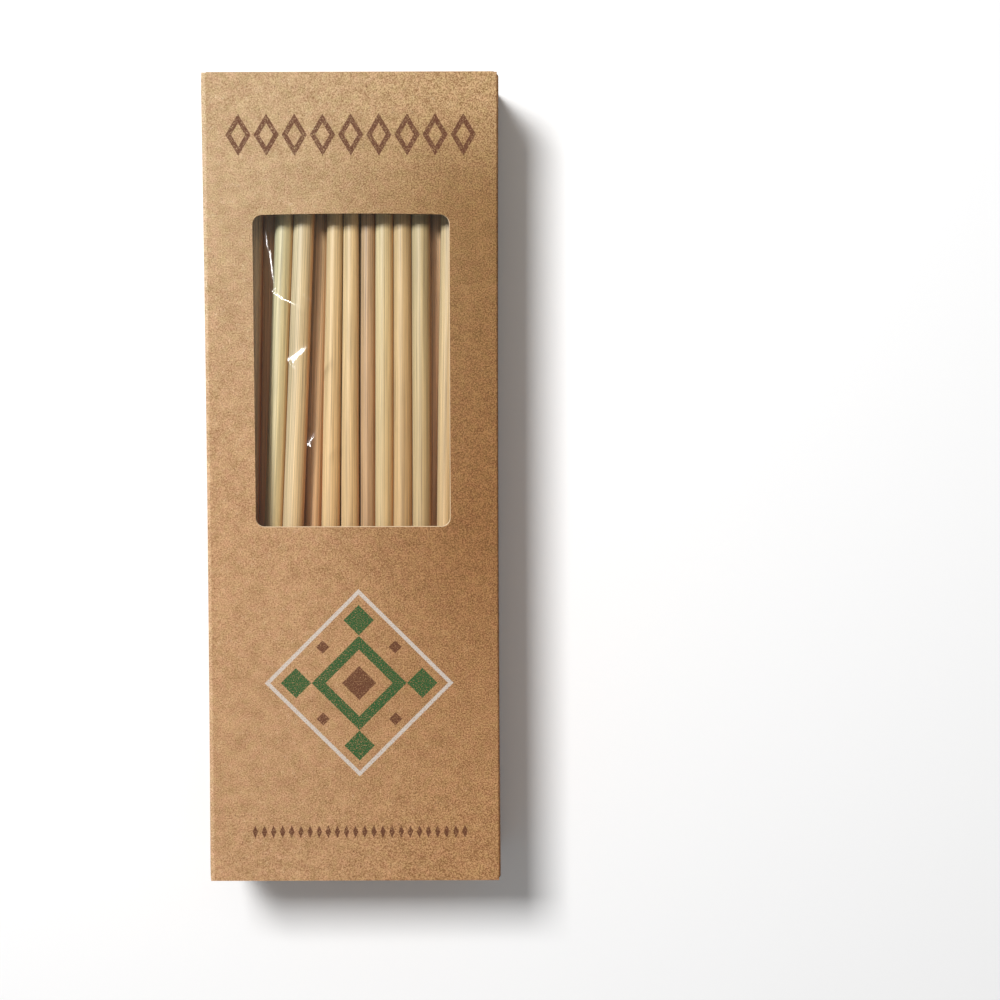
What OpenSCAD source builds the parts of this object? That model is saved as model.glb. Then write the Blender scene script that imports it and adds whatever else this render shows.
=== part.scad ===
// A windowed folding carton filled with a hundred natural drinking straws.
// It lies on its back panel: X runs across the carton, Y towards its upper end,
// and Z up out of the front panel. The origin is under the middle of the back panel.

/* [Carton] */
// Width of the carton, across its front panel
carton_w = 75; // [75:0.5:90]
// Length of the carton, from end to end
carton_l = 207; // [206.5:0.5:230]
// Depth of the carton, from its back panel to its front panel
carton_d = 38; // [37:0.5:60]
// Thickness of the kraft board
board_t = 0.45; // [0.35:0.05:0.6]
// Outer radius of the folds along the sides
fold_r = 1.1; // [0.9:0.1:1.5]

/* [Window] */
// Width of the window cut in the front panel
window_w = 50; // [30:0.1:56]
// Length of the window
window_l = 79; // [40:0.1:110]
// Distance from the upper end of the carton to the window
window_from_top = 36; // [30:0.5:60]
// Corner radius of the window
window_r = 2.3; // [1:0.1:6]
// Thickness of the clear film behind the window
film_t = 0.15; // [0.1:0.05:0.25]
// Glued margin of the film around the window
film_margin = 7; // [4:0.5:9]

/* [Ends] */
// Length of the tuck flap of each lid
tuck_l = 13; // [10:0.5:14]
// Slant of a tucked flap, which lets it swing out past the front panel
tuck_slant = 12; // [11.5:0.5:14]
// Corner radius of a tuck flap
tuck_corner_r = 7; // [4:0.5:9]
// Reach of each dust flap across the end
dust_reach = 33; // [20:0.5:35]
// Width of the glue flap inside the side seam
glue_flap_w = 13; // [10:0.5:18]
// Depth of the cut at each end of a lid's fold, which locks it on the dust flaps
lock_slit_l = 6; // [3:0.5:9]
// How far the front panel's raw ends stand back from the lids
front_recess = 0.35; // [0.2:0.05:0.6]

/* [Straws] */
// Length of a straw
straw_l = 200; // [190:0.5:201]
// Diameter of a straw in the lower rows
row_straw_d = 4.86; // [4.4:0.02:4.86]
// Wall of a straw
straw_wall = 0.4; // [0.3:0.05:0.6]
// Furthest that a straw has slid along the carton
straw_slide = 1.2; // [0:0.1:1.4]

/* [Hidden] */
$fn = 48;
clear = 0.02;
glue_t = 0.05;
lid_gap = 0.15;
over = 1;

// Places of the board: the seam's inner fold, the ends of the sides and of the flaps
seam_x = carton_w / 2 - board_t - glue_t;
arc_steps = 8;
dust_fold_r = 0.9;
dust_y = carton_l / 2 - board_t - lid_gap;
side_end_y = dust_y - dust_fold_r;
end_inset = 0.5;
seam_edge_z = 0.1;
front_z = carton_d - board_t;
hinge_y = carton_l / 2 - board_t / 2;
hinge_z = board_t / 2;
crease_r = board_t / 2 - clear;
crease_gap = 0.05;
lid_side_gap = 1.2;
lid_w = carton_w - 2 * lid_side_gap;
lid_top_z = front_z - lid_gap;
lid_fold_r = 0.9;
lock_slit_w = 0.4;
tuck_inset = 0.6;
glue_flap_gap = 1;
glue_flap_taper = 5;
glue_margin = 1;
glue_low_z = 3;
dust_low_z = 1.4;
dust_top_gap = 3;
dust_high_z = front_z - dust_top_gap;
dust_shoulder = 5;
dust_taper = 2.5;
dust_corner_r = 3;
window_y = carton_l / 2 - window_from_top - window_l / 2;

// Rows of equal straws, each nested in the one below, with 15 and 14 straws by turns
row_n = 15;
row_count = 5;
row_seed = 100;
row_pitch = 4.9;
row_rise = sqrt(pow(row_straw_d, 2) - pow(row_pitch / 2, 2)) + clear;
row_mid_x = (seam_x - board_t - (carton_w / 2 - board_t)) / 2;
row_top_z = board_t + row_straw_d + (row_count - 1) * row_rise + clear;

// Second layer: the x of each straw's middle at its upper and lower ends, and its diameter
second_thickest = 4.5;
second_top_z = row_top_z + second_thickest + clear;
second_x_d = [
    [-32.4, -34.7, 4.5], [-24.9, -30, 4.5], [-20.3, -25.4, 4.5], [-15.7, -20.8, 4.4],
    [-7.7, -14.7, 4.5], [-3.1, -8.6, 4.4], [1.5, -3.8, 4.4], [6.1, 1, 4.5],
    [10.7, 5.8, 4.4], [15.3, 10.6, 4.4], [21.7, 19, 4.4], [26.15, 24.2, 4.2],
    [30.4, 29, 4.1], [34.45, 34.2, 3.9]
];

// Top layer: the x of each straw's middle at its ends, then its diameters there
top_x_d = [
    [-33.9, -34.6, 4.3, 4.4], [-28.6, -30.1, 4.2, 4.5], [-16.2, -25.2, 4.6, 4.7],
    [-11.1, -20.1, 5.2, 5.3], [-3.95, -8.3, 3.8, 5.2], [-0.15, -2.35, 3.7, 5.2],
    [4.05, 2.65, 3.6, 3.8], [8.3, 6.95, 4.5, 4.7], [12.85, 11.95, 4.4, 5],
    [17.5, 17.25, 4.75, 4.8], [25.5, 21.95, 4.7, 4.5], [29.95, 27.6, 4.1, 4.7],
    [34.2, 33.6, 4.1, 4.5]
];

top_n = len(top_x_d);
second_n = len(second_x_d);

function number(i) = str(i < 10 ? "0" : "", i);
function straw_name(i) = str("straw_", number(i));
function row_name(i) = str("straw_row_", number(i));
function slide(i) = rands(-straw_slide, straw_slide, 1, i)[0];

// Quarter of a bent board, in the quarter of the plane that the two signs name
module bend(r, sx, sy) {
    intersection() {
        difference() {
            circle(r);
            circle(r - board_t);
        }
        translate([sx > 0 ? 0 : -r - over, sy > 0 ? 0 : -r - over])
            square([r + over, r + over]);
    }
}

// The wrap of the carton seen from its end: front, sides, back and the seam's inner fold
module wrap_section() {
    flat_x = carton_w / 2 - fold_r;
    translate([-flat_x, front_z])
        square([2 * flat_x, board_t]);
    translate([-flat_x, carton_d - fold_r])
        bend(fold_r, -1, 1);
    translate([flat_x, carton_d - fold_r])
        bend(fold_r, 1, 1);
    translate([-carton_w / 2, fold_r])
        square([board_t, carton_d - 2 * fold_r]);
    translate([-flat_x, fold_r])
        bend(fold_r, -1, -1);
    translate([-flat_x, 0])
        square([flat_x + seam_x - fold_r, board_t]);
    translate([seam_x - fold_r, fold_r])
        bend(fold_r, 1, -1);
    translate([carton_w / 2 - board_t, seam_edge_z])
        square([board_t, carton_d - fold_r - seam_edge_z]);
}

// Flap from the back panel that the side panel is glued over, with tapered ends
module glue_flap() {
    long = side_end_y - glue_flap_gap;
    short = long - glue_flap_taper;
    translate([seam_x - board_t, 0, 0])
        rotate([90, 0, 90])
            linear_extrude(board_t)
                polygon([
                    [-long, fold_r], [long, fold_r], [short, glue_flap_w], [-short, glue_flap_w]
                ]);
    translate([seam_x - clear, -short, glue_low_z])
        cube([glue_t + 2 * clear, 2 * short, glue_flap_w - glue_low_z - glue_margin]);
}

// Outline of a dust flap, from its fold at x = 0 to its free edge
module dust_outline() {
    reach = dust_reach - dust_fold_r;
    low = dust_low_z;
    high = dust_high_z;
    difference() {
        polygon([
            [0, low], [dust_shoulder, low], [dust_shoulder + dust_taper, low + dust_taper],
            [reach, low + dust_taper], [reach, high - dust_taper],
            [dust_shoulder + dust_taper, high - dust_taper], [dust_shoulder, high], [0, high]
        ]);
        for (s = [[low + dust_taper, 1], [high - dust_taper, -1]])
            translate([reach, s[0]])
                difference() {
                    translate([-dust_corner_r, s[1] > 0 ? -over : -dust_corner_r])
                        square([dust_corner_r + over, dust_corner_r + over]);
                    translate([-dust_corner_r, s[1] * dust_corner_r])
                        circle(dust_corner_r);
                }
    }
}

// Dust flap folded in from the right side panel at the upper end
module dust_flap() {
    fold_x = carton_w / 2 - dust_fold_r;
    translate([fold_x, dust_y, 0])
        rotate([90, 0, 0])
            mirror([1, 0, 0])
                linear_extrude(board_t)
                    dust_outline();
    translate([fold_x, side_end_y, dust_low_z])
        linear_extrude(dust_high_z - dust_low_z)
            bend(dust_fold_r, 1, 1);
}

// The folded and glued sheet, without its two end lids
module carton_body() {
    color("#b98f63")
        difference() {
            union() {
                difference() {
                    translate([0, carton_l / 2, 0])
                        rotate([90, 0, 0])
                            linear_extrude(carton_l)
                                wrap_section();
                    for (sx = [-1, 1], sy = [-1, 1])
                        translate([
                            sx > 0 ? carton_w / 2 - end_inset : -carton_w / 2 - over,
                            sy > 0 ? side_end_y : -carton_l / 2 - over,
                            -over
                        ])
                            cube([
                                end_inset + over,
                                carton_l / 2 - side_end_y + over,
                                carton_d + 2 * over
                            ]);
                    for (sy = [-1, 1])
                        translate([
                            -carton_w / 2 - over,
                            sy > 0 ? hinge_y : -carton_l / 2 - over,
                            -over
                        ])
                            cube([
                                carton_w + 2 * over,
                                board_t / 2 + over,
                                carton_d / 2
                            ]);
                    for (sy = [-1, 1])
                        translate([
                            -carton_w / 2 - over,
                            sy > 0 ? carton_l / 2 - front_recess : -carton_l / 2 - over,
                            carton_d / 2
                        ])
                            cube([
                                carton_w + 2 * over,
                                front_recess + over,
                                carton_d / 2 + over
                            ]);
                }
                for (sy = [-1, 1])
                    translate([-lid_w / 2, sy * hinge_y, hinge_z])
                        rotate([0, 90, 0])
                            cylinder(r = crease_r, h = lid_w);
                for (mx = [0, 1], my = [0, 1])
                    mirror([mx, 0, 0])
                        mirror([0, my, 0])
                            dust_flap();
                glue_flap();
            }
            translate([0, window_y, front_z - over])
                linear_extrude(board_t + 2 * over)
                    rounded_window(window_w, window_l, window_r);
        }
}

module rounded_window(w, l, r) {
    square([w - 2 * r, l], center = true);
    square([w, l - 2 * r], center = true);
    for (sx = [-1, 1], sy = [-1, 1])
        translate([sx * (w / 2 - r), sy * (l / 2 - r)])
            circle(r);
}

// Points along an arc about a middle point
function arc(middle, r, from, to) = [
    for (i = [0:arc_steps])
        let (a = from + (to - from) * i / arc_steps)
            middle + r * [cos(a), sin(a)]
];

// End lid seen from the side: closure panel, fold and slanted tuck flap in one outline.
// Here x runs inwards from the outer face, and y is the height.
module lid_section() {
    low = board_t + crease_gap;
    middle = [lid_fold_r, lid_top_z - lid_fold_r];
    along = [cos(tuck_slant), -sin(tuck_slant)];
    outer = arc(middle, lid_fold_r, 180, 90 - tuck_slant);
    inner = arc(middle, lid_fold_r - board_t, 90 - tuck_slant, 180);
    polygon(concat(
        [[0, low]], outer, [outer[arc_steps] + tuck_l * along],
        [inner[0] + tuck_l * along], inner, [[board_t, low]]
    ));
}

// Outline of the closed lid from the front: full width at the end, then the tuck flap
module lid_outline() {
    reach = lid_fold_r + tuck_l;
    tuck_w = lid_w - 2 * tuck_inset;
    translate([-lid_w / 2 - over, -board_t - lid_gap])
        square([lid_w + 2 * over, board_t + lid_gap + over]);
    translate([-tuck_w / 2, tuck_corner_r - reach])
        square([tuck_w, reach - tuck_corner_r + over]);
    translate([-tuck_w / 2 + tuck_corner_r, -reach - over])
        square([tuck_w - 2 * tuck_corner_r, reach + over]);
    for (s = [-1, 1])
        translate([s * (tuck_w / 2 - tuck_corner_r), tuck_corner_r - reach])
            circle(tuck_corner_r);
}

// Upper lid: closure panel hinged on the back panel, and its tuck flap with round corners
module lid() {
    difference() {
        intersection() {
            translate([-lid_w / 2, carton_l / 2, 0])
                rotate([90, 0, 90])
                    mirror([1, 0, 0])
                        linear_extrude(lid_w)
                            lid_section();
            translate([0, carton_l / 2, -over])
                linear_extrude(carton_d + 2 * over)
                    lid_outline();
        }
        for (s = [-1, 1])
            translate([
                s * (lid_w / 2 - lock_slit_l / 2 + over / 2),
                carton_l / 2,
                lid_top_z - lid_fold_r - lock_slit_w / 2
            ])
                cube([lock_slit_l + over, 2 * (board_t + clear), lock_slit_w], center = true);
    }
}

module top_lid() {
    color("#b98f63") lid();
}

module bottom_lid() {
    color("#b98f63") mirror([0, 1, 0]) lid();
}

// Clear film glued behind the window
module window_film() {
    color("#e8eef0", 0.35)
        translate([
            -window_w / 2 - film_margin,
            window_y - window_l / 2 - film_margin,
            front_z - film_t
        ])
            cube([window_w + 2 * film_margin, window_l + 2 * film_margin, film_t]);
}

// One hollow straw between the middles of its upper and lower ends, cut square at both
module straw(upper, lower, upper_d, lower_d) {
    run = upper - lower;
    translate(lower)
        rotate([0, acos(run[2] / norm(run)), atan2(run[1], run[0])])
            difference() {
                cylinder(d1 = lower_d, d2 = upper_d, h = norm(run));
                translate([0, 0, -over])
                    cylinder(
                        d1 = lower_d - 2 * straw_wall, d2 = upper_d - 2 * straw_wall,
                        h = norm(run) + 2 * over
                    );
            }
}

// Straw of the top layer, lying on the crowns of the second
module top_straw(i) {
    s = top_x_d[i];
    y = slide(i);
    color(i % 2 == 0 ? "#e9cf9c" : "#e3c389")
        straw(
            [s[0], y + straw_l / 2, second_top_z + s[2] / 2],
            [s[1], y - straw_l / 2, second_top_z + s[3] / 2],
            s[2], s[3]
        );
}

// Straw of the second layer, lying on the crowns of the rows below
module second_straw(i) {
    s = second_x_d[i];
    y = slide(top_n + i);
    z = row_top_z + s[2] / 2;
    color("#d2a56c")
        straw([s[0], y + straw_l / 2, z], [s[1], y - straw_l / 2, z], s[2], s[2]);
}

// Row of equal straws side by side: row 0 lies on the back panel
module straw_row(k) {
    n = row_n - k % 2;
    z = board_t + row_straw_d / 2 + k * row_rise;
    color("#cda06a")
        for (i = [0:n - 1])
            let (
                x = row_mid_x + (i - (n - 1) / 2) * row_pitch,
                y = slide(row_seed + row_n * k + i)
            )
                straw(
                    [x, y + straw_l / 2, z], [x, y - straw_l / 2, z],
                    row_straw_d, row_straw_d
                );
}

carton_body();
top_lid();
bottom_lid();
window_film();
for (i = [0:top_n - 1])
    top_straw(i);
for (i = [0:second_n - 1])
    second_straw(i);
for (k = [0:row_count - 1])
    straw_row(k);
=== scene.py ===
"""A windowed kraft carton of natural drinking straws, lying in a small photo studio."""
import math
import random

import bmesh
import bpy
from mathutils import Matrix, Vector, noise


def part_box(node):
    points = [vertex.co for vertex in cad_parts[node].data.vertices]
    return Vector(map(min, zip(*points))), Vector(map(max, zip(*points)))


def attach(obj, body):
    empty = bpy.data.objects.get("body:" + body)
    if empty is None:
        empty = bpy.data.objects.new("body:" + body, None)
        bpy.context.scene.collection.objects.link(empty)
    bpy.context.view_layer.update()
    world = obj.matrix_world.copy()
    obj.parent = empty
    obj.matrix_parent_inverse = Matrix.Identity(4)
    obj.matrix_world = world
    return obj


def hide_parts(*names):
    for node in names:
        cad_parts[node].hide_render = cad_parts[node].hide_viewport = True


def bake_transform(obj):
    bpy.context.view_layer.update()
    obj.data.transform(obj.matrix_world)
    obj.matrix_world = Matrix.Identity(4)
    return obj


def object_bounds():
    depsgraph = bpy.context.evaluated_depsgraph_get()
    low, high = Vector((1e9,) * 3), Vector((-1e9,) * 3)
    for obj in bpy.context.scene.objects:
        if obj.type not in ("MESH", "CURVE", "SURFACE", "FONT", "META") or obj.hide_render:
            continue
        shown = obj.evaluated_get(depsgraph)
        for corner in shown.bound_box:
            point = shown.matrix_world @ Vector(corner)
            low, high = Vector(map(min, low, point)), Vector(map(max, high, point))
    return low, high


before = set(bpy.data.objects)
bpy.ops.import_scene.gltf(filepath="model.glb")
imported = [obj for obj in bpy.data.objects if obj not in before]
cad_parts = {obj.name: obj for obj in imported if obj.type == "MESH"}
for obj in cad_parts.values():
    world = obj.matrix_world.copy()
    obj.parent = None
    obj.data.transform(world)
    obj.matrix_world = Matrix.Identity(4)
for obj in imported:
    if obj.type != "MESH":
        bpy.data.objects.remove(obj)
cad_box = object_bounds()

# Camera: a still-life camera on an overhead arm. It hangs over the carton's right edge, a little
# above the middle, and looks almost straight down.
SENSOR_WIDTH, FOCAL_LENGTH = 36, 72.42
CAMERA_PLACE = (0.0375, 0.02754, 0.55)
CAMERA_TURN = (-3.62, -0.02, -0.17)

camera = bpy.data.objects.new("camera", bpy.data.cameras.new("camera"))
bpy.context.scene.collection.objects.link(camera)
camera.data.sensor_width = SENSOR_WIDTH
camera.data.lens = FOCAL_LENGTH
camera.location = CAMERA_PLACE
camera.rotation_euler = [math.radians(turn) for turn in CAMERA_TURN]
bpy.context.scene.camera = camera

# Studio: a white floor with two lamps of its own, one for the soft shadow on it and one that
# evens it out, two small softboxes at the upper left for the carton, and a pale room all round
# that fills the shadows. Lamp places and sizes are in metres.
MM = 0.001
FLOOR_GAP, FLOOR_HALF = 0.05 * MM, 4
FLOOR_WHITE, FLOOR_ROUGHNESS = 0.92, 0.9
ROOM_LIGHT = 0.18
ON_CARTON, ON_FLOOR = (0, 0, 0.03), (0.3, 0.0, 0.0)


def softbox(name, place, target, width, length, radiance):
    """A flat rectangular light that faces its target, of the same brightness all over."""
    lamp = bpy.data.objects.new(name, bpy.data.lights.new(name, "AREA"))
    bpy.context.scene.collection.objects.link(lamp)
    lamp.data.shape = "RECTANGLE"
    lamp.data.size = width
    lamp.data.size_y = length
    lamp.data.energy = radiance * math.pi * width * length
    back = (Vector(place) - Vector(target)).normalized()
    across = Vector((0, 1, 0)).cross(back).normalized()
    lamp.location = place
    lamp.rotation_euler = Matrix((across, back.cross(across), back)).transposed().to_euler()
    return lamp


def keep_light(lamp, things, state):
    """Keeps a light to some things with INCLUDE, or off them with EXCLUDE."""
    reach = bpy.data.collections.new(f"{lamp.name}_reach")
    for thing in things:
        reach.objects.link(thing)
    for link in reach.collection_objects:
        link.light_linking.link_state = state
    lamp.light_linking.receiver_collection = reach


floor_lamp = softbox("floor_softbox", (-0.28, 0.38, 0.95), ON_CARTON, 0.28, 0.28, radiance=46)
key_lamp = softbox("key_softbox", (-0.44, 0.42, 0.9), ON_CARTON, 0.2, 0.2, radiance=41)
floor_fill = softbox("floor_fill", (0.3, 0.0, 1.6), ON_FLOOR, 1.6, 1.6, radiance=0.42)
side_lamp = softbox("side_softbox", (-0.5, 0.42, 0.85), ON_CARTON, 0.12, 0.2, radiance=132)

room = bpy.data.worlds.new("room")
bpy.context.scene.world = room
room.use_nodes = True
room_nodes = room.node_tree.nodes
room_walls = room_nodes["Background"]
room_walls.inputs["Color"].default_value = (1, 1, 1, 1)
room_walls.inputs["Strength"].default_value = ROOM_LIGHT
backdrop = room_nodes.new("ShaderNodeBackground")
backdrop.inputs["Color"].default_value = (1, 1, 1, 1)
seen = room_nodes.new("ShaderNodeLightPath")
choice = room_nodes.new("ShaderNodeMixShader")
room.node_tree.links.new(seen.outputs["Is Camera Ray"], choice.inputs["Fac"])
room.node_tree.links.new(room_walls.outputs[0], choice.inputs[1])
room.node_tree.links.new(backdrop.outputs[0], choice.inputs[2])
room.node_tree.links.new(choice.outputs[0], room_nodes["World Output"].inputs["Surface"])
bpy.context.scene.view_settings.view_transform = "Standard"

floor_bm = bmesh.new()
bmesh.ops.create_grid(floor_bm, x_segments=1, y_segments=1, size=FLOOR_HALF)
bmesh.ops.translate(floor_bm, verts=floor_bm.verts, vec=(0, 0, -FLOOR_GAP))
floor_mesh = bpy.data.meshes.new("floor")
floor_bm.to_mesh(floor_mesh)
floor = bpy.data.objects.new("floor", floor_mesh)
bpy.context.scene.collection.objects.link(floor)
floor_paint = bpy.data.materials.new("floor_paint")
floor_paint.use_nodes = True
floor_shader = floor_paint.node_tree.nodes["Principled BSDF"]
floor_shader.inputs["Base Color"].default_value = (FLOOR_WHITE, FLOOR_WHITE, FLOOR_WHITE, 1)
floor_shader.inputs["Roughness"].default_value = FLOOR_ROUGHNESS
floor_mesh.materials.append(floor_paint)
keep_light(floor_lamp, [floor], "INCLUDE")
keep_light(floor_fill, [floor], "INCLUDE")
keep_light(key_lamp, [floor], "EXCLUDE")
keep_light(side_lamp, [floor], "EXCLUDE")

# Carton: one sheet of brown kraft board, 0.45 mm thick, die-cut, printed, folded round into a
# long box and glued along its right edge. It is made as a flat line of corners drawn out into
# panels, creased and given its thickness, and the window is cut through its front panel.
MICRON = 0.001 * MM
BOARD, GLUE_LINE = 0.45 * MM, 0.05 * MM
HALF_W, HALF_L, DEPTH = cad_box[1]
SKIN_X, SKIN_Z = HALF_W - BOARD / 2, DEPTH - BOARD / 2
SEAM_X = HALF_W - 1.5 * BOARD - GLUE_LINE
SEAM_LOW = 0.1 * MM
FOLD_OUT, SHARP_FOLD_OUT = 1.1 * MM, 0.6 * MM
FOLD_R, SHARP_FOLD_R = FOLD_OUT - BOARD / 2, SHARP_FOLD_OUT - BOARD / 2
GLUE_FLAP = 13 * MM
GLUE_FLAP_END, GLUE_FLAP_TAPER = 101 * MM, 5 * MM
FRONT_END = HALF_L - 0.35 * MM
SIDE_END = HALF_L - 1.5 * MM
SIDE_INSET = 0.5 * MM
HINGE_Y = HALF_L - BOARD / 2
CREASE_START = HINGE_Y - 0.6 * MM
LID_HALF = HALF_W - 1.2 * MM
PINCH = 0.32 * MM
SINK = 0.22 * MM

WINDOW_HALF_W, WINDOW_R = 25 * MM, 2.3 * MM
WINDOW_TOP, WINDOW_BOTTOM = HALF_L - 36 * MM, HALF_L - 115 * MM
WINDOW_MID = (WINDOW_TOP + WINDOW_BOTTOM) / 2
WINDOW_ARCH = 0.35 * MM
WINDOW_CRUSH = 0.18 * MM
CUTTER_HEIGHT, CRUSHED_MATERIAL = 4 * MM, 2


class Reading:
    """A number that varies over a surface, worked out by a material's nodes."""

    def __init__(self, tree, socket):
        self.tree = tree
        self.socket = socket

    def maths(self, operation, *others, clamp=False):
        """The reading after one sum with other readings or plain numbers."""
        node = self.tree.nodes.new("ShaderNodeMath")
        node.operation = operation
        node.use_clamp = clamp
        for slot, value in zip(node.inputs, (self, *others)):
            feed(self.tree, slot, value)
        return Reading(self.tree, node.outputs[0])

    def __add__(self, other):
        return self.maths("ADD", other)

    def __sub__(self, other):
        return self.maths("SUBTRACT", other)

    def __mul__(self, other):
        return self.maths("MULTIPLY", other)

    def __abs__(self):
        return self.maths("ABSOLUTE")

    def clamped(self):
        """The reading, held between 0 and 1."""
        return self.maths("ADD", 0.0, clamp=True)

    def above(self, start, gain):
        """0 up to the start, and from there a rise with this gain to 1 at most."""
        return (self - start).maths("MULTIPLY", gain, clamp=True)


def feed(tree, slot, value):
    """Gives a node's slot a reading, or a plain value."""
    if isinstance(value, Reading):
        tree.links.new(value.socket, slot)
    else:
        slot.default_value = value


def new_material(name):
    """A material with its node tree, its shader and the object's own place, in millimetres."""
    material = bpy.data.materials.new(name)
    material.use_nodes = True
    tree = material.node_tree
    place = tree.nodes.new("ShaderNodeVectorMath")
    place.operation = "SCALE"
    tree.links.new(tree.nodes.new("ShaderNodeTexCoord").outputs["Object"], place.inputs[0])
    place.inputs["Scale"].default_value = 1 / MM
    return material, tree, tree.nodes["Principled BSDF"], Reading(tree, place.outputs[0])


def stretched(place, x, y, z):
    """The same place with its axes scaled, for a grain that runs one way."""
    node = place.tree.nodes.new("ShaderNodeVectorMath")
    node.operation = "MULTIPLY"
    place.tree.links.new(place.socket, node.inputs[0])
    node.inputs[1].default_value = (x, y, z)
    return Reading(place.tree, node.outputs[0])


def speckle(place, per_mm, detail=2, roughness=0.5, distortion=0.0):
    """Noise around a half, with so many lumps to the millimetre."""
    node = place.tree.nodes.new("ShaderNodeTexNoise")
    node.inputs["Scale"].default_value = per_mm
    node.inputs["Detail"].default_value = detail
    node.inputs["Roughness"].default_value = roughness
    node.inputs["Distortion"].default_value = distortion
    place.tree.links.new(place.socket, node.inputs["Vector"])
    return Reading(place.tree, node.outputs[0])


def blend_colours(tree, share, first, second, how="MIX"):
    """The first colour where the share is 0, the second, or their product, where it is 1."""
    node = tree.nodes.new("ShaderNodeMix")
    node.data_type = "RGBA"
    node.blend_type = how
    feed(tree, node.inputs["Factor"], share)
    for slot, colour in zip((node.inputs["A"], node.inputs["B"]), (first, second)):
        colour_slot = [s for s in node.inputs if s.name == slot.name and s.type == "RGBA"][0]
        feed(tree, colour_slot, colour if isinstance(colour, Reading) else (*colour, 1))
    return Reading(tree, [s for s in node.outputs if s.type == "RGBA"][0])


def ramp(reading, start, end):
    """0 at the start and 1 at the end, with a soft change between them."""
    node = reading.tree.nodes.new("ShaderNodeMapRange")
    node.interpolation_type = "SMOOTHSTEP"
    feed(reading.tree, node.inputs["Value"], reading)
    node.inputs["From Min"].default_value = start
    node.inputs["From Max"].default_value = end
    return Reading(reading.tree, node.outputs["Result"])


def rough_up(tree, shader, height, depth):
    """Raises the surface by the height reading, of so many metres at 1."""
    bump = tree.nodes.new("ShaderNodeBump")
    bump.inputs["Distance"].default_value = depth
    tree.links.new(height.socket, bump.inputs["Height"])
    tree.links.new(bump.outputs["Normal"], shader.inputs["Normal"])


# The board's colours, the painted light and shade over its length, width and folds, and the inks.
KRAFT_DARK, KRAFT_LIGHT = (0.246, 0.138, 0.057), (0.63, 0.445, 0.264)
KRAFT_FLECK, KRAFT_FIBRE = (0.12, 0.06, 0.03), (0.78, 0.62, 0.43)
KRAFT_PINK, KRAFT_OLIVE = (1.04, 0.975, 0.99), (0.98, 1.01, 0.92)
# Painted shade: the board warmer and darker downwards, and the front warmer towards the right, away
# from the lamps' pale sheen at the upper left, and darker still beside the window on the right.
KRAFT_SHADE_DOWNWARDS, KRAFT_SHADE = (1.01, 0.865, 0.78), (0.52, 0.42, 0.26)
KRAFT_SHADE_RIGHTWARDS = (1.0, 0.935, 0.83)
# Painted highlight on the front panel's left fold, which faces the lamps, and painted shade on its
# right fold, which turns away from them.
FOLD_PAINTED_HIGHLIGHT, FOLD_PAINTED_SHADE = (1.3, 1.42, 1.6), (0.66, 0.52, 0.4)
CUT_DARK, CUT_LIGHT = (0.26, 0.16, 0.08), (0.46, 0.32, 0.18)
# The window's crushed rim is paler than a plain cut edge: partly crushed fibre, partly a painted
# highlight of the rim catching the light.
CRUSHED_SHEEN_DARK, CRUSHED_SHEEN_LIGHT = (0.4, 0.28, 0.16), (0.6, 0.45, 0.29)
INK_BROWN, INK_GREEN, INK_GREY = (0.085, 0.018, 0.005), (0.004, 0.08, 0.016), (0.6, 0.55, 0.5)
GRAIN_CONTRAST, GRAIN_CONTRAST_GAIN, CLOUD_CONTRAST = 2.8, 2.2, 0.65
FIBRE_SHARPNESS, FIBRE_COVER, FLECK_COVER = 60, 0.65, 0.6
KRAFT_RELIEF, CUT_RELIEF = 0.2 * MM, 0.03 * MM
KRAFT_ROUGHNESS, KRAFT_SHEEN, CUT_ROUGHNESS = 0.65, 0.3, 0.8

# From where to where a tint comes in, in millimetres across, along and up through the carton.
LEFT_TO_RIGHT, UP_TO_FRONT, AT_FRONT = (-25, 38), (34, 37.4), (35.8, 36.8)
LEFT_FOLD, RIGHT_FOLD, TOP_TO_MIDDLE = (-36.1, -36.6), (36.7, 37.2), (85, -25)
TOP_END, LOWER_HALF = (106, 68), (-85, 0)
SHADE_LEAST, SHADE_BELOW, SHADE_GAIN = 0.05, 0.25, 0.6


def coordinate(tree, place, axis):
    """One axis of a place."""
    node = tree.nodes.new("ShaderNodeSeparateXYZ")
    tree.links.new(place.socket, node.inputs[0])
    return Reading(tree, node.outputs[axis])


def kraft_colour(tree, place):
    """Brown kraft: coarse speckle, soft clouds, curly pale fibres and a few dark flecks."""
    grain = speckle(place, per_mm=2.8, detail=3, roughness=0.75)
    cloud = speckle(place, per_mm=0.28, detail=3, roughness=0.6)
    rightwards = ramp(coordinate(tree, place, "X"), *LEFT_TO_RIGHT)
    contrast = rightwards * GRAIN_CONTRAST_GAIN + GRAIN_CONTRAST
    tone = (grain - 0.5) * contrast + (cloud - 0.5) * CLOUD_CONTRAST + 0.5
    colour = blend_colours(tree, tone.clamped(), KRAFT_DARK, KRAFT_LIGHT)
    hue = (speckle(place, per_mm=0.42, detail=3, roughness=0.6) * 3 - 1).clamped()
    cast = blend_colours(tree, hue, KRAFT_PINK, KRAFT_OLIVE)
    colour = blend_colours(tree, 1.0, colour, cast, "MULTIPLY")
    curl = speckle(stretched(place, 1, 0.55, 1), per_mm=1.15, distortion=1.6)
    line = (abs(curl - 0.5) * -FIBRE_SHARPNESS).maths("ADD", 1, clamp=True)
    sparse = speckle(place, per_mm=0.5, detail=1).above(0.52, gain=9)
    colour = blend_colours(tree, line * sparse * FIBRE_COVER, colour, KRAFT_FIBRE)
    dot = speckle(stretched(place, 1.6, 0.8, 1), per_mm=1.3, detail=1, roughness=0.4)
    fleck = dot.above(0.735, gain=22)
    return blend_colours(tree, fleck * FLECK_COVER, colour, KRAFT_FLECK), grain


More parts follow.
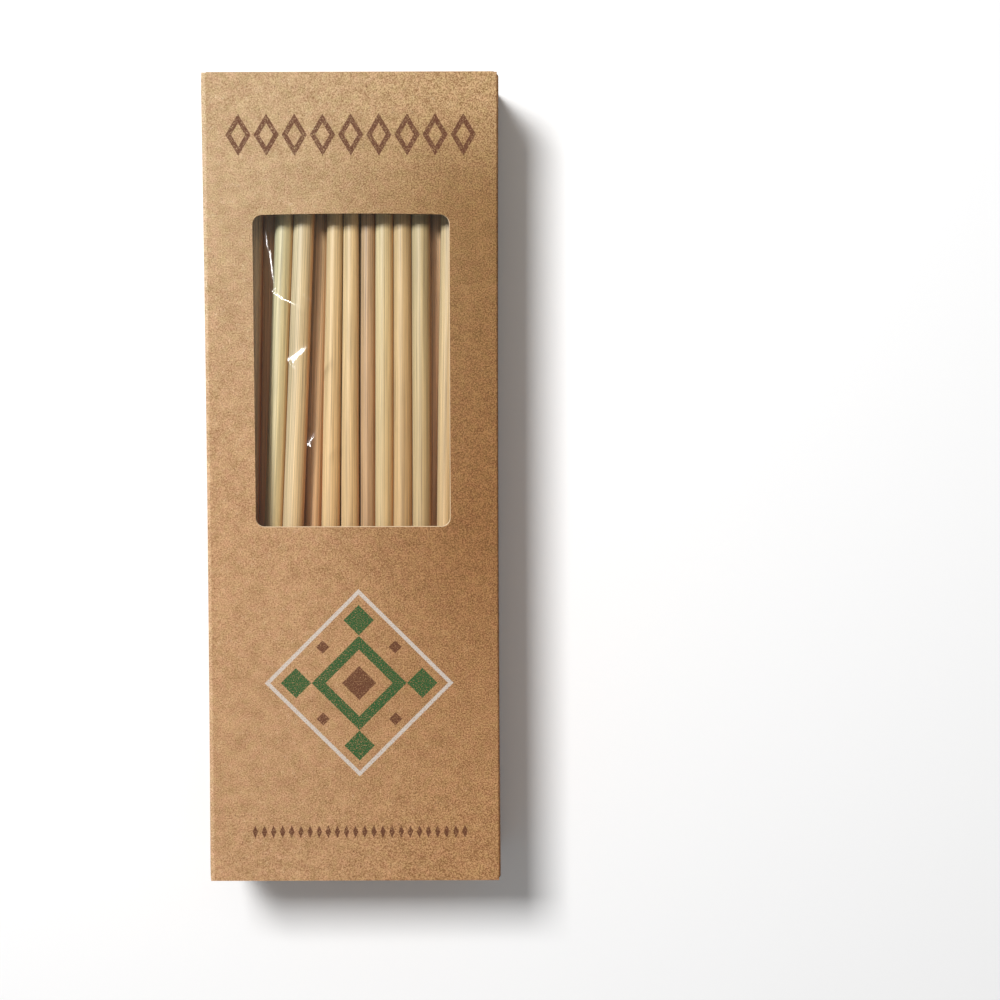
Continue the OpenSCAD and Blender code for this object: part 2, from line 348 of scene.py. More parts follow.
def painted_shading(tree, place, colour):
    """Slow changes of tone, all painted light and shade: a highlight on the front panel's left
    fold, shade on its right one, the sheet warmer downwards and the front deeper to the right."""
    x, y, z = (coordinate(tree, place, axis) for axis in "XYZ")
    at_front = ramp(z, *AT_FRONT)
    rightwards = ramp(x, *LEFT_TO_RIGHT) * ramp(z, *UP_TO_FRONT)
    upwards = ramp(y, *LOWER_HALF) * SHADE_GAIN + SHADE_BELOW
    middle = ramp(y, *TOP_END) * upwards + SHADE_LEAST
    tints = (
        (ramp(x, *LEFT_FOLD) * at_front, FOLD_PAINTED_HIGHLIGHT), (ramp(x, *RIGHT_FOLD) * at_front, FOLD_PAINTED_SHADE),
        (ramp(y, *TOP_TO_MIDDLE), KRAFT_SHADE_DOWNWARDS), (rightwards, KRAFT_SHADE_RIGHTWARDS),
        (rightwards * middle, KRAFT_SHADE),
    )
    for share, tint in tints:
        colour = blend_colours(tree, share, colour, tint, "MULTIPLY")
    return colour


def inside(distance, edge, softness=0.12):
    """1 where the distance is under the edge, with a slightly bled outline."""
    return (distance - edge).maths("MULTIPLY", -1 / softness).maths("ADD", 0.5, clamp=True)


# Print: three inks on the front panel, brown, green and grey. A frieze of tall lozenges, a square
# emblem on its point and a row of small lozenges are each given in millimetres.
FRIEZE_MID, FRIEZE_STEP, FRIEZE_COUNT = (0.2, 87.6), 7.1, 9
FRIEZE_HALF, FRIEZE_STROKE = (3.2, 5.3), 0.45
EMBLEM_MID, FRAME_R, FRAME_STROKE = (1.3, -51.8), 24.2, 1.4
RING_R, RING_STROKE = 12.2, 3.6
POINT_AT, POINT_R = 16.2, 3.9
DOT_AT, DOT_R, HEART_R = 9.3, 1.7, 4.4
ROW_MID, ROW_STEP, ROW_COUNT, ROW_HALF = (1.3, -90.4), 2.35, 24, (0.72, 1.7)
FRONT_FACE = (DEPTH - BOARD) / MM + 0.06
INK_BLEED, FRIEZE_BLEED, ROW_BLEED, FAR_OFF = 0.16, 0.3, 0.6, 9


def lozenge_row(x, y, middle, step, count, half):
    """How far a place is from the middle of the nearest lozenge of a row, 1 at its outline."""
    along = x - middle[0]
    near = abs((along + step / 2 * (count % 2 + 1)).maths("WRAP", -step / 2, step / 2))
    shape = near * (1 / half[0]) + abs(y - middle[1]) * (1 / half[1])
    return shape + abs(along).maths("GREATER_THAN", step * count / 2) * FAR_OFF


def printed(tree, place, colour):
    """The kraft colour with the three inks on it."""
    x, y, z = (coordinate(tree, place, axis) for axis in "XYZ")
    bleed = (speckle(place, per_mm=3.5, detail=1) - 0.5) * INK_BLEED
    on_front = z.maths("GREATER_THAN", FRONT_FACE)
    frieze = lozenge_row(x, y, FRIEZE_MID, FRIEZE_STEP, FRIEZE_COUNT, FRIEZE_HALF)
    band = abs(frieze + bleed * FRIEZE_BLEED - (1 - FRIEZE_STROKE / 2))
    brown = inside(band, FRIEZE_STROKE / 2, softness=0.04)
    small = lozenge_row(x, y, ROW_MID, ROW_STEP, ROW_COUNT, ROW_HALF) + bleed * ROW_BLEED
    brown = brown.maths("MAXIMUM", inside(small, 1))
    across, up = abs(x - EMBLEM_MID[0]), abs(y - EMBLEM_MID[1])
    reach = across + up + bleed
    longer, shorter = across.maths("MAXIMUM", up), across.maths("MINIMUM", up)
    corner = abs(longer - DOT_AT) + abs(shorter - DOT_AT) + bleed
    brown = brown.maths("MAXIMUM", inside(corner, DOT_R)).maths("MAXIMUM", inside(reach, HEART_R))
    ring = inside(abs(reach - (RING_R - RING_STROKE / 2)), RING_STROKE / 2)
    point = inside(abs(longer - POINT_AT) + shorter + bleed, POINT_R)
    grey = inside(abs(reach - (FRAME_R - FRAME_STROKE / 2)), FRAME_STROKE / 2)
    cover = speckle(place, per_mm=3.2, detail=3, roughness=0.7).above(0.33, gain=7)
    inks = (
        (brown, INK_BROWN, 0.88), (ring.maths("MAXIMUM", point), INK_GREEN, 0.96),
        (grey, INK_GREY, 0.85),
    )
    for mask, ink, strength in inks:
        share = (mask * on_front * cover).maths("MULTIPLY", strength, clamp=True)
        colour = blend_colours(tree, share, colour, ink)
    return colour


kraft, kraft_tree, kraft_shader, kraft_place = new_material("kraft_board")
kraft_base, kraft_grain = kraft_colour(kraft_tree, kraft_place)
kraft_toned = painted_shading(kraft_tree, kraft_place, kraft_base)
kraft_printed = printed(kraft_tree, kraft_place, kraft_toned)
kraft_tree.links.new(kraft_printed.socket, kraft_shader.inputs["Base Color"])
kraft_shader.inputs["Roughness"].default_value = KRAFT_ROUGHNESS
kraft_shader.inputs["Specular IOR Level"].default_value = KRAFT_SHEEN
rough_up(kraft_tree, kraft_shader, kraft_grain, KRAFT_RELIEF)


def cut_board(name, dark, light):
    """The bare fibres of a cut edge of the board, between two colours."""
    material, tree, shader, place = new_material(name)
    fibre = speckle(place, per_mm=4, detail=3, roughness=0.6)
    tone = (fibre * 1.6 - 0.3).clamped()
    tree.links.new(blend_colours(tree, tone, dark, light).socket, shader.inputs["Base Color"])
    shader.inputs["Roughness"].default_value = CUT_ROUGHNESS
    rough_up(tree, shader, fibre, CUT_RELIEF)
    return material


kraft_cut = cut_board("kraft_cut_edge", CUT_DARK, CUT_LIGHT)
# The window's rim: crushed fibre, with a painted highlight where it catches the light.
kraft_crushed_sheen = cut_board("kraft_crushed_edge", CRUSHED_SHEEN_DARK, CRUSHED_SHEEN_LIGHT)


def drawn_out(bm, corners, run):
    """Board along a line of corners, drawn out along run: one panel between each two corners."""
    verts = [bm.verts.new(corner) for corner in corners]
    edges = [bm.edges.new(pair) for pair in zip(verts, verts[1:])]
    drawn = bmesh.ops.extrude_edge_only(bm, edges=edges)["geom"]
    moved = [item for item in drawn if isinstance(item, bmesh.types.BMVert)]
    bmesh.ops.translate(bm, verts=moved, vec=run)


def middle_of(edge):
    """The point halfway along an edge."""
    return (edge.verts[0].co + edge.verts[1].co) / 2


def fold(bm, chosen, radius, steps=4):
    """Rounds the chosen folds between two panels."""
    edges = [e for e in bm.edges if len(e.link_faces) == 2 and chosen(middle_of(e))]
    bmesh.ops.bevel(
        bm, geom=edges, offset=radius, offset_type="OFFSET", affect="EDGES",
        segments=steps, profile=0.5, material=-1,
    )


def trim(bm, part, place, normal):
    """Cuts one part of the board along a plane and throws away what lies beyond it."""
    faces = [f for f in bm.faces if part(f.calc_center_median())]
    geom = list(dict.fromkeys(item for f in faces for item in (f, *f.edges, *f.verts)))
    bmesh.ops.bisect_plane(bm, geom=geom, dist=0.1 * MICRON, plane_co=place, plane_no=normal)
    beyond = []
    for f in bm.faces:
        centre = f.calc_center_median()
        if part(centre) and (centre - Vector(place)).dot(Vector(normal)) > 0:
            beyond.append(f)
    bmesh.ops.delete(bm, geom=beyond, context="FACES")


def round_corners(bm, chosen, radius, steps=6):
    """Rounds the chosen free corners of a flap."""
    verts = [v for v in bm.verts if len(v.link_edges) == 2 and chosen(v.co)]
    bmesh.ops.bevel(
        bm, geom=verts, offset=radius, affect="VERTICES", segments=steps, profile=0.5, material=-1,
    )


def divide(bm, chosen, cuts):
    """Cuts the chosen edges into even lengths, so that the panel can bow."""
    edges = [e for e in bm.edges if chosen(e)]
    bmesh.ops.subdivide_edges(bm, edges=edges, cuts=cuts, use_grid_fill=True)


def settle(verts):
    """The slack of a filled box: its waist drawn in and its front sunk a hair between the ends."""
    for v in verts:
        slack = 1 - (v.co.y / HALF_L) ** 2
        v.co.x *= 1 - PINCH / HALF_W * slack
        v.co.z *= 1 - SINK / DEPTH * slack


def new_piece(name, bm, *materials):
    """A mesh object at the origin with its materials."""
    mesh = bpy.data.meshes.new(name)
    bm.to_mesh(mesh)
    bm.free()
    piece = bpy.data.objects.new(name, mesh)
    bpy.context.scene.collection.objects.link(piece)
    for material in materials:
        mesh.materials.append(material)
    return piece


def give_thickness(piece, thickness):
    """Board or film of this thickness, half on each side of the mesh. Its cut edge takes the
    next material, if there is one."""
    solidify = piece.modifiers.new("thickness", "SOLIDIFY")
    solidify.thickness = thickness
    solidify.offset = 0
    solidify.material_offset_rim = 1


def with_modifiers(piece):
    """The piece's mesh as its modifiers leave it."""
    bpy.context.view_layer.update()
    shown = piece.evaluated_get(bpy.context.evaluated_depsgraph_get())
    return bpy.data.meshes.new_from_object(shown)


def is_long(edge):
    """Whether an edge runs the length of the sheet."""
    run = edge.verts[1].co - edge.verts[0].co
    return abs(run.y) > 20 * MM


def is_panel_width(edge):
    """Whether an edge runs across a whole panel."""
    run = edge.verts[1].co - edge.verts[0].co
    return abs(run.y) < MICRON and run.length > 30 * MM


wall_bm = bmesh.new()
wall_corners = [
    (SEAM_X, -HALF_L, GLUE_FLAP), (SEAM_X, -HALF_L, BOARD / 2), (-SKIN_X, -HALF_L, BOARD / 2),
    (-SKIN_X, -HALF_L, SKIN_Z), (SKIN_X, -HALF_L, SKIN_Z), (SKIN_X, -HALF_L, SEAM_LOW),
]
drawn_out(wall_bm, wall_corners, (0, 2 * HALF_L, 0))
fold(wall_bm, lambda m: m.x > SEAM_X and m.z > DEPTH / 2, SHARP_FOLD_R)
fold(wall_bm, lambda m: m.x < SEAM_X + MICRON and abs(abs(m.x) - SEAM_X) < BOARD, FOLD_R)
divide(wall_bm, is_long, cuts=41)
divide(wall_bm, is_panel_width, cuts=11)
for end in (-1, 1):
    along = (0, end, 0)
    trim(wall_bm, lambda c: c.z > DEPTH / 2, (0, end * FRONT_END, 0), along)
    trim(wall_bm, lambda c: c.z < DEPTH / 2, (0, end * HINGE_Y, 0), along)
    trim(
        wall_bm, lambda c: c.z < BOARD and abs(c.x) < HALF_W - FOLD_OUT - 10 * MICRON,
        (0, end * CREASE_START, 0), along,
    )
    trim(
        wall_bm, lambda c: abs(c.x - SEAM_X) < 10 * MICRON and c.z > FOLD_OUT,
        (0, end * GLUE_FLAP_END, 0), (0, end * (GLUE_FLAP - FOLD_OUT), GLUE_FLAP_TAPER),
    )
    for side in (-1, 1):
        trim(
            wall_bm,
            lambda c: side * c.x > HALF_W - SIDE_INSET and abs(c.x - SEAM_X) > 10 * MICRON,
            (0, end * SIDE_END, 0), along,
        )
wall = new_piece("wall", wall_bm, kraft, kraft_cut, kraft_crushed_sheen)
give_thickness(wall, BOARD)

cutter_bm = bmesh.new()
bmesh.ops.create_cube(cutter_bm, size=1)
bmesh.ops.scale(
    cutter_bm, verts=cutter_bm.verts,
    vec=(2 * WINDOW_HALF_W, WINDOW_TOP - WINDOW_BOTTOM, CUTTER_HEIGHT),
)
bmesh.ops.translate(cutter_bm, verts=cutter_bm.verts, vec=(0, WINDOW_MID, SKIN_Z))
bmesh.ops.bevel(
    cutter_bm, geom=[e for e in cutter_bm.edges if abs(e.verts[0].co.z - e.verts[1].co.z) > MM],
    offset=WINDOW_R, affect="EDGES", segments=8, profile=0.5, material=-1,
)
divide(cutter_bm, lambda e: abs(e.verts[0].co.x - e.verts[1].co.x) > 20 * MM, cuts=12)
for v in cutter_bm.verts:
    if v.co.y > WINDOW_TOP - MICRON:
        v.co.y += WINDOW_ARCH * (1 - (v.co.x / WINDOW_HALF_W) ** 2)
bmesh.ops.bisect_plane(
    cutter_bm, geom=[*cutter_bm.faces, *cutter_bm.edges, *cutter_bm.verts],
    plane_co=(0, 0, DEPTH - WINDOW_CRUSH), plane_no=(0, 0, 1),
)
for v in cutter_bm.verts:
    if v.co.z > DEPTH:
        flare = v.co.z - DEPTH + WINDOW_CRUSH
        v.co.x += flare * max(0, v.co.x) / WINDOW_HALF_W
        up = v.co.y - WINDOW_MID
        v.co.y += flare * min(0, up) / ((WINDOW_TOP - WINDOW_BOTTOM) / 2)
for f in cutter_bm.faces:
    f.material_index = CRUSHED_MATERIAL
cutter = new_piece("window_cutter", cutter_bm, kraft, kraft_cut, kraft_crushed_sheen)
window_cut = wall.modifiers.new("window", "BOOLEAN")
window_cut.operation = "DIFFERENCE"
window_cut.object = cutter

carton_bm = bmesh.new()
carton_bm.from_mesh(with_modifiers(wall))
for helper in (wall, cutter):
    bpy.data.objects.remove(helper)
settle(carton_bm.verts)
carton = new_piece("carton", carton_bm, kraft, kraft_cut, kraft_crushed_sheen)
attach(carton, "carton")
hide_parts("carton_body")

# Dust flaps: four flaps of the same sheet, folded in from the side panels under the lids. Each
# has a full shoulder at its fold, which runs up into the corner of the box, and is cut narrower
# past it, with round free corners.
DUST_FOLD_OUT = 0.9 * MM
DUST_FOLD_R = DUST_FOLD_OUT - BOARD / 2
DUST_Y = SIDE_END + DUST_FOLD_OUT - BOARD / 2
DUST_FREE_X = HALF_W - 33 * MM
DUST_LOW, DUST_HIGH = 1.4 * MM, DEPTH - BOARD - 3 * MM
DUST_FOLD_HIGH, DUST_FOLD_X = DEPTH - 1.2 * MM, HALF_W - 1.05 * MM
SHOULDER, SHOULDER_STEP, DUST_CORNER_R = 5.9 * MM, 2.5 * MM, 3 * MM

for end, end_name in ((1, "upper"), (-1, "lower")):
    for side, side_name in ((-1, "left"), (1, "right")):
        dust_bm = bmesh.new()
        dust_corners = [
            (side * SKIN_X, end * SIDE_END, DUST_LOW), (side * SKIN_X, end * DUST_Y, DUST_LOW),
            (side * DUST_FREE_X, end * DUST_Y, DUST_LOW),
        ]
        drawn_out(dust_bm, dust_corners, (0, 0, DUST_HIGH - DUST_LOW))
        fold(dust_bm, lambda m: True, DUST_FOLD_R - 10 * MICRON)
        for cut_x in (DUST_FOLD_X, HALF_W - SHOULDER, HALF_W - SHOULDER - SHOULDER_STEP):
            bmesh.ops.bisect_plane(
                dust_bm, geom=[*dust_bm.faces, *dust_bm.edges, *dust_bm.verts],
                plane_co=(side * cut_x, 0, 0), plane_no=(1, 0, 0),
            )
        for v in dust_bm.verts:
            if side * v.co.x < HALF_W - SHOULDER - SHOULDER_STEP / 2:
                v.co.z += SHOULDER_STEP * (1 if v.co.z < DEPTH / 2 else -1)
            elif side * v.co.x > DUST_FOLD_X + 0.1 * MM and v.co.z > DEPTH / 2:
                v.co.z = DUST_FOLD_HIGH
        round_corners(dust_bm, lambda co: side * co.x < DUST_FREE_X + MM, DUST_CORNER_R)
        flap = new_piece(f"dust_flap_{end_name}_{side_name}", dust_bm, kraft, kraft_cut)
        give_thickness(flap, BOARD)
        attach(flap, "carton")
        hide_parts("carton_body")

# Lids: the back panel runs on past a crease at each end into a closure panel and a slanted tuck
# flap with round corners. A short cut at each side of its fold locks the flap behind the dust
# flaps.
LID_GAP, LID_FOLD_OUT = 0.15 * MM, 0.9 * MM
LID_TOP = DEPTH - BOARD - LID_GAP - BOARD / 2
LID_FOLD_R = LID_FOLD_OUT - BOARD / 2
CREASE_R = 0.45 * MM
TUCK_L, TUCK_SLANT = 13 * MM, math.radians(12)
TUCK_INSET, TUCK_CORNER_R = 0.6 * MM, 7 * MM
LOCK_SLIT, LOCK_SLIT_W = 6 * MM, 0.4 * MM


def in_slit_strip(centre, place, slit_z):
    """Whether a face of the closure panel is to be cut: any by the level cut, and by the upright
    ones only those above it."""
    on_panel = abs(centre.y) > HINGE_Y - MICRON and centre.z < LID_TOP - LID_FOLD_R
    return on_panel and (place[2] > 0 or centre.z > slit_z)


def is_slit(centre, slit_z):
    """Whether a face of the closure panel lies in one of its two lock slits."""
    return in_slit_strip(centre, (0, 0, 0), slit_z) and abs(centre.x) > LID_HALF - LOCK_SLIT


for end, body in ((1, "upper_lid"), (-1, "lower_lid")):
    lid_bm = bmesh.new()
    tuck = TUCK_L + LID_FOLD_OUT
    tuck_end = HINGE_Y - tuck * math.cos(TUCK_SLANT)
    lid_corners = [
        (-LID_HALF, end * CREASE_START, BOARD / 2), (-LID_HALF, end * HINGE_Y, BOARD / 2),
        (-LID_HALF, end * HINGE_Y, LID_TOP),
        (-LID_HALF, end * tuck_end, LID_TOP - tuck * math.sin(TUCK_SLANT)),
    ]
    drawn_out(lid_bm, lid_corners, (2 * LID_HALF, 0, 0))
    fold(lid_bm, lambda m: m.z < DEPTH / 2, CREASE_R, steps=6)
    fold(lid_bm, lambda m: m.z > DEPTH / 2, LID_FOLD_R)
    for v in lid_bm.verts:
        if abs(v.co.y) < HINGE_Y - 2 * MM:
            v.co.x -= math.copysign(TUCK_INSET, v.co.x)
    round_corners(lid_bm, lambda co: abs(co.y) < HINGE_Y - 2 * MM, TUCK_CORNER_R, steps=8)
    slit_z = LID_TOP - LID_FOLD_R - LOCK_SLIT_W
    cuts = [((0, 0, slit_z), (0, 0, 1))]
    cuts += [((side * (LID_HALF - LOCK_SLIT), 0, 0), (1, 0, 0)) for side in (-1, 1)]
    for place, normal in cuts:
        strip = [f for f in lid_bm.faces if in_slit_strip(f.calc_center_median(), place, slit_z)]
        geom = list(dict.fromkeys(item for f in strip for item in (f, *f.edges, *f.verts)))
        bmesh.ops.bisect_plane(
            lid_bm, geom=geom, dist=0.1 * MICRON, plane_co=place, plane_no=normal,
        )
    slits = [f for f in lid_bm.faces if is_slit(f.calc_center_median(), slit_z)]
    bmesh.ops.delete(lid_bm, geom=slits, context="FACES")
    lid = new_piece(f"{body}_board", lid_bm, kraft, kraft_cut)
    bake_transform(lid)
    give_thickness(lid, BOARD)
    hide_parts("top_lid" if end > 0 else "bottom_lid")

# Film: a thin clear sheet glued behind the window. It sags a hair and isn't quite flat: handling
# has left a few soft creases and dents in its left half, which catch a strip lamp of its own.
FILM, FILM_MARGIN = 0.15 * MM, 7 * MM
FILM_Z = DEPTH - BOARD - FILM / 2
FILM_CELL, FILM_CUTS = 1 * MM, 4
SAG, SAG_RUN = 0.12 * MM, 9 * MM
SAG_WAVE, WAVES_ACROSS, WAVES_ALONG = 0.7, 40, 30
FILM_ROUGHNESS, FILM_IOR, FILM_GLOSS = 0.1, 1.5, 0.55

# Each crease's half width, height and points, in millimetres from the carton's middle. The sheet
# is divided finely where a crease is higher than the least, and creases end at an inset from the
# window's edge.
CREASE_LEAST, CREASE_INSET = 0.001, 0.5
CREASES = [
    (0.4, 0.045, [(-21.4, 64.0), (-21.2, 61.0), (-20.9, 58.5)]),
    (0.5, 0.068, [(-20.5, 64.5), (-20.4, 60.0), (-19.8, 54.0), (-19.0, 47.5)]),
    (0.55, 0.15, [(-19.8, 48.6), (-17.5, 46.9), (-11.6, 44.2)]),
    (0.4, 0.07, [(-12.2, 47.6), (-10.0, 46.2), (-6.4, 44.9)]),
    (1.4, 0.235, [(-15.6, 30.0), (-12.8, 31.8), (-9.8, 34.4)]),
    (1.1, 0.118, [(-10.9, 8.9), (-9.6, 10.7), (-8.2, 12.7)]),
]


def crease_height(x, y):
    """Height of all creases at a place, in millimetres: each is a ridge that fades to its ends."""
    height, spot = 0.0, Vector((x, y))
    for width, rise, points in CREASES:
        best = (3 * width, 0.0)
        for part, (start, end) in enumerate(zip(points, points[1:])):
            start, run = Vector(start), Vector(end) - Vector(start)
            share = min(1, max(0, (spot - start).dot(run) / run.length_squared))
            away = (spot - start - run * share).length
            best = min(best, (away, (part + share) / (len(points) - 1)))
        away, along = best
        height += rise * math.exp(-((away / width) ** 2)) * math.sin(math.pi * along) ** 0.4
    return height


film_bm = bmesh.new()
film_w, film_l = WINDOW_HALF_W + FILM_MARGIN, (WINDOW_TOP - WINDOW_BOTTOM) / 2 + FILM_MARGIN
bmesh.ops.create_grid(
    film_bm, x_segments=round(2 * film_w / FILM_CELL), y_segments=round(2 * film_l / FILM_CELL),
    size=1,
)
bmesh.ops.scale(film_bm, verts=film_bm.verts, vec=(film_w, film_l, 1))
bmesh.ops.translate(film_bm, verts=film_bm.verts, vec=(0, WINDOW_MID, FILM_Z))
creased = []
for f in film_bm.faces:
    if crease_height(*(f.calc_center_median().xy / MM)) > CREASE_LEAST:
        creased.append(f)
bmesh.ops.subdivide_edges(
    film_bm, edges=list(dict.fromkeys(e for f in creased for e in f.edges)),
    cuts=FILM_CUTS, use_grid_fill=True,
)
for v in film_bm.verts:
    inset = min(WINDOW_HALF_W - abs(v.co.x), WINDOW_TOP - v.co.y, v.co.y - WINDOW_BOTTOM)
    free = min(1, max(0, inset / SAG_RUN))
    wave = noise.noise(Vector((v.co.x * WAVES_ACROSS, v.co.y * WAVES_ALONG, 0)))
    v.co.z -= free * free * (3 - 2 * free) * (1 + SAG_WAVE * wave) * SAG
    v.co.z += crease_height(*(v.co.xy / MM)) * MM * min(1, max(0, inset / MM - CREASE_INSET))
settle(film_bm.verts)
for f in film_bm.faces:
    f.smooth = True

clear_film, film_tree, film_shader, _ = new_material("clear_film")
film_shader.inputs["Base Color"].default_value = (1, 1, 1, 1)
film_shader.inputs["Metallic"].default_value = 1
film_shader.inputs["Roughness"].default_value = FILM_ROUGHNESS
film_glance = film_tree.nodes.new("ShaderNodeFresnel")
film_glance.inputs["IOR"].default_value = FILM_IOR
film_alpha = (Reading(film_tree, film_glance.outputs[0]) * FILM_GLOSS).clamped()
film_tree.links.new(film_alpha.socket, film_shader.inputs["Alpha"])
film = new_piece("window_film_sheet", film_bm, clear_film)
give_thickness(film, FILM)
glint_lamp = softbox("glint_strip", (-0.25, 0.05, 0.9), ON_CARTON, 0.05, 0.9, radiance=40)
keep_light(glint_lamp, [film], "INCLUDE")
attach(film, "carton")
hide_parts("window_film")

# Straws: a hundred dried cereal stems, cut square to one length, left hollow and laid loose in
# the carton. Each has its own colour, from pale green to warm straw yellow, fine ridges along it
# and a waxy skin, and swells a little between its ends.
STEM_WALL, STEM_WOBBLE, STEM_RELIEF = 0.4 * MM, 0.08 * MM, 0.04 * MM
SWELL, WOBBLES = 0.045, 25
END_REACH, GRAIN_APART = 0.6 * MM, 300
SKIN_ROUGHNESS, SKIN_SHEEN = 0.42, 0.6
RIDGE_CONTRAST, BAND_CONTRAST, STAIN_CONTRAST = 1.8, 0.45, 0.25
PALE, WARM = (0.6, 0.47, 0.265), (0.6, 0.43, 0.215)
HONEY, AMBER = (0.54, 0.375, 0.18), (0.46, 0.295, 0.15)
SAGE, GREEN = (0.57, 0.49, 0.27), (0.56, 0.43, 0.22)
OLIVE, TAN = (0.49, 0.372, 0.19), (0.7, 0.48, 0.27)
# Two colours lighter than straw, for deep straws that lie in shade: painted light, one pale and one
# reddish.
PALE_PAINTED_LIGHT, RUSSET_PAINTED_LIGHT = (0.86, 0.7, 0.46), (0.94, 0.66, 0.4)
TOP_COLOURS = [
    PALE, WARM, SAGE, PALE, WARM, WARM, AMBER, GREEN, HONEY, OLIVE, WARM, HONEY, PALE,
]
SECOND_COLOURS = [
    TAN, PALE_PAINTED_LIGHT, TAN, TAN, TAN, WARM, GREEN, HONEY, WARM, SAGE, RUSSET_PAINTED_LIGHT, WARM, PALE, WARM,
]

# Tints on a straw's colour: cooler at its upper end than at its lower one, and painted light and
# shade: lighter towards the lamps than on the far side, reddish on the far flank between two
# straws.
UPPER_TINT, LOWER_TINT = (0.96, 1.08, 1.18), (1.12, 0.93, 0.76)
LIT_TINT, FAR_SHADE_TINT = (0.87, 0.95, 1.07), (0.88, 0.77, 0.62)
FLANK_SHADE_TINT, FLANK_START = (1.18, 0.76, 0.53), 0.7


def stem(bm, lower, upper, colour, number, sides, cuts, swell):
    """One straw between its end middles, its own colour, painted light and shade, grain and slight
    unevenness.
    """
    pick = random.Random(number)
    run = upper[0] - lower[0]
    first = len(bm.verts)
    bmesh.ops.create_cone(
        bm, segments=sides, radius1=lower[1], radius2=upper[1], depth=run.length, cap_ends=False,
    )
    bm.verts.index_update()
    made = [e for e in bm.edges if e.verts[0].index >= first]
    tall = [e for e in made if abs(e.verts[0].co.z - e.verts[1].co.z) > MM]
    bmesh.ops.subdivide_edges(bm, edges=tall, cuts=cuts, use_grid_fill=True)
    bm.verts.ensure_lookup_table()
    verts = bm.verts[first:]
    place_layer = bm.verts.layers.float_vector["stem_place"]
    colour_and_shade_layer = bm.verts.layers.float_vector["stem_colour_and_shade"]
    shift = Vector((0, 0, pick.uniform(0, 1000) + GRAIN_APART * number))
    for v in verts:
        v[place_layer] = v.co / MM + shift
        tint = Vector(LOWER_TINT).lerp(Vector(UPPER_TINT), v.co.z / run.length + 0.5)
        # Painted light and shade round the straw: lighter towards the lamps, reddish shade on the
        # far flank.
        side = v.co.x / lower[1]
        tint *= Vector(FAR_SHADE_TINT).lerp(Vector(LIT_TINT), side / 2 + 0.5)
        flank = max(0, -side - FLANK_START) / (1 - FLANK_START)
        tint *= Vector((1, 1, 1)).lerp(Vector(FLANK_SHADE_TINT), flank)
        v[colour_and_shade_layer] = Vector(colour) * tint
        wobble = noise.noise(Vector((number, v.co.z * WOBBLES, 0)))
        v.co.x *= 1 + swell * (1 - (2 * v.co.z / run.length) ** 2)
        v.co.x += wobble * STEM_WOBBLE
    turn = run.to_track_quat("Z", "Y").to_matrix().to_4x4()
    middle = Matrix.Translation((lower[0] + upper[0]) / 2)
    bmesh.ops.transform(bm, matrix=middle @ turn, verts=verts)


def stem_ends(node, near_x=None, radius=None):
    """Middle and radius of a straw's lower and upper ends, read from its solid."""
    points = [v.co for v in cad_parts[node].data.vertices]
    if near_x is not None:
        points = [p for p in points if abs(p.x - near_x) < radius]
    ends = []
    for pick_end in (min, max):
        y = pick_end(p.y for p in points)
        ring = [p for p in points if abs(p.y - y) < END_REACH]
        low = Vector(min(p[axis] for p in ring) for axis in range(3))
        high = Vector(max(p[axis] for p in ring) for axis in range(3))
        ends.append(((low + high) / 2, (high.x - low.x) / 2))
    return ends


straw_skin, skin_tree, skin_shader, _ = new_material("straw_skin")
stem_place = skin_tree.nodes.new("ShaderNodeAttribute")
stem_place.attribute_name = "stem_place"
stem_place = Reading(skin_tree, stem_place.outputs["Vector"])
# Each straw's colour, with its painted light and shade.
stem_colour_and_shade = skin_tree.nodes.new("ShaderNodeAttribute")
stem_colour_and_shade.attribute_name = "stem_colour_and_shade"
stem_colour_and_shade = Reading(skin_tree, stem_colour_and_shade.outputs["Vector"])
ridges = speckle(stretched(stem_place, 1, 1, 0.006), per_mm=3.6, roughness=0.75)
bands = speckle(stretched(stem_place, 1, 1, 0.012), per_mm=0.35)
stain = speckle(stretched(stem_place, 1, 1, 0.12), per_mm=0.5, detail=3, roughness=0.6)
skin_light = (ridges - 0.5) * RIDGE_CONTRAST + (bands - 0.5) * BAND_CONTRAST
skin_light = skin_light + (stain - 0.5) * STAIN_CONTRAST + 1
skin_scale = skin_tree.nodes.new("ShaderNodeVectorMath")
skin_scale.operation = "SCALE"
skin_tree.links.new(stem_colour_and_shade.socket, skin_scale.inputs[0])
skin_tree.links.new(skin_light.socket, skin_scale.inputs["Scale"])
skin_tree.links.new(skin_scale.outputs[0], skin_shader.inputs["Base Color"])
skin_shader.inputs["Roughness"].default_value = SKIN_ROUGHNESS
skin_shader.inputs["Specular IOR Level"].default_value = SKIN_SHEEN
rough_up(skin_tree, skin_shader, ridges, STEM_RELIEF)


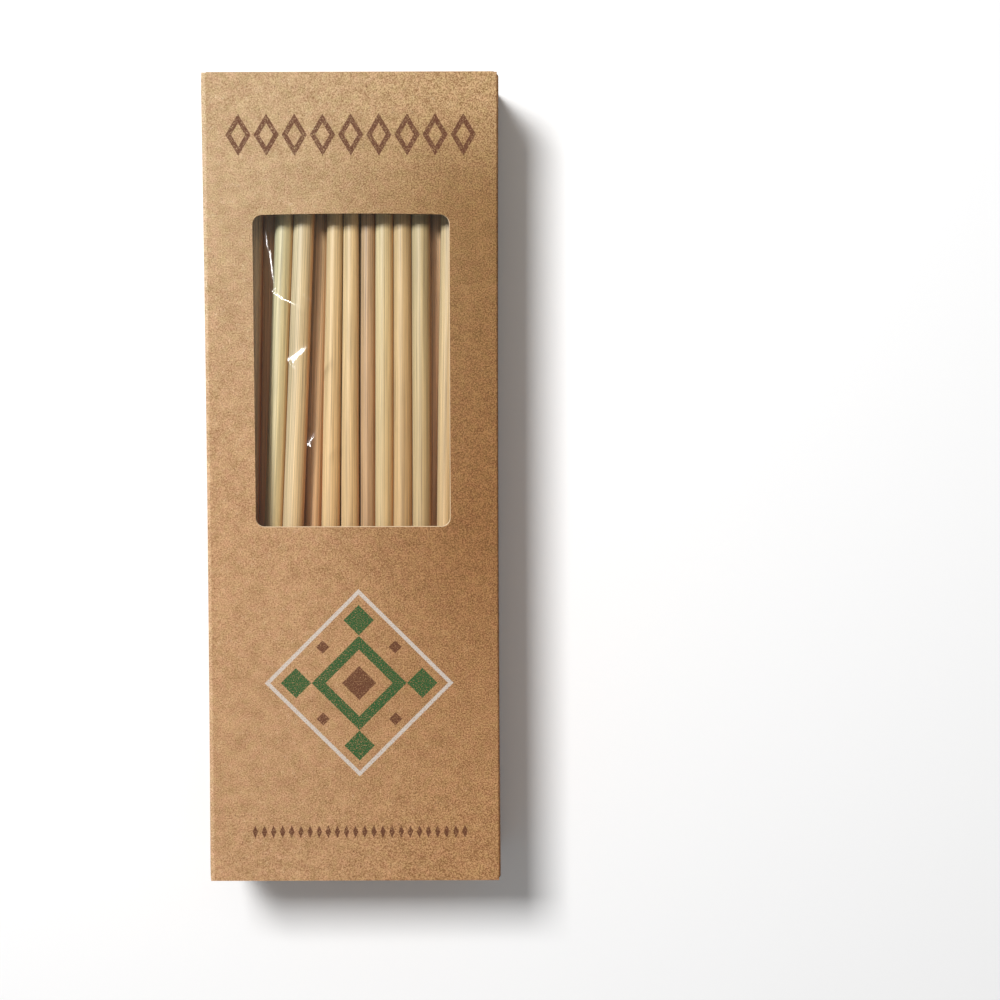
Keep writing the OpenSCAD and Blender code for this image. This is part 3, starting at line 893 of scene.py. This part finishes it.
def straw_piece(name, node, stems, sides, cuts, swell):
    """One piece of straws, each given by its ends, its colour and its number."""
    bm = bmesh.new()
    bm.verts.layers.float_vector.new("stem_place")
    bm.verts.layers.float_vector.new("stem_colour_and_shade")
    for (lower, upper), colour, number in stems:
        stem(bm, lower, upper, colour, number, sides, cuts, swell)
    for f in bm.faces:
        f.smooth = True
    piece = new_piece(name, bm, straw_skin)
    wall = piece.modifiers.new("wall", "SOLIDIFY")
    wall.thickness = STEM_WALL
    wall.offset = -1
    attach(piece, "carton")
    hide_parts(node)
    return piece


straws = []
for number, colour in enumerate(TOP_COLOURS + SECOND_COLOURS, 1):
    node = f"straw_{number:02d}"
    stems = [(stem_ends(node), colour, number)]
    straws.append(straw_piece(f"stem_{number:02d}", node, stems, sides=28, cuts=15, swell=SWELL))

# The lower layers lie nested, a straw more in every other one.
ROW_STRAWS, FIRST_NUMBER, NUMBERS_APART = 15, 100, 20
rows = [name for name in sorted(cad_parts) if name.startswith("straw_row_")]
for row, node in enumerate(rows):
    low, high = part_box(node)
    straw_d = high.z - low.z
    count = ROW_STRAWS - row % 2
    step = (high.x - low.x - straw_d) / (count - 1)
    stems = []
    for i in range(count):
        number = FIRST_NUMBER + NUMBERS_APART * row + i
        x = low.x + straw_d / 2 + i * step
        colour = random.Random(number).choice((WARM, PALE, GREEN, HONEY))
        stems.append((stem_ends(node, x, straw_d / 2 + 10 * MICRON), colour, number))
    straws.append(straw_piece(f"stem_row_{row + 1}", node, stems, sides=16, cuts=3, swell=0))

# Two warm cards light the straws alone: one on the right for their far sides, and one beyond the
# upper end that shines down along the gaps between them.
warm_card = softbox("warm_card", (0.7, 0.0, 0.5), ON_CARTON, 0.5, 0.8, radiance=1.5)
warm_card.data.color = (1, 0.74, 0.5)
keep_light(warm_card, straws, "INCLUDE")
gap_card = softbox("gap_card", (0.01, 0.42, 0.85), (0.0, 0.03, 0.03), 0.3, 0.3, radiance=2.8)
gap_card.data.color = (1, 0.6, 0.4)
keep_light(gap_card, straws, "INCLUDE")
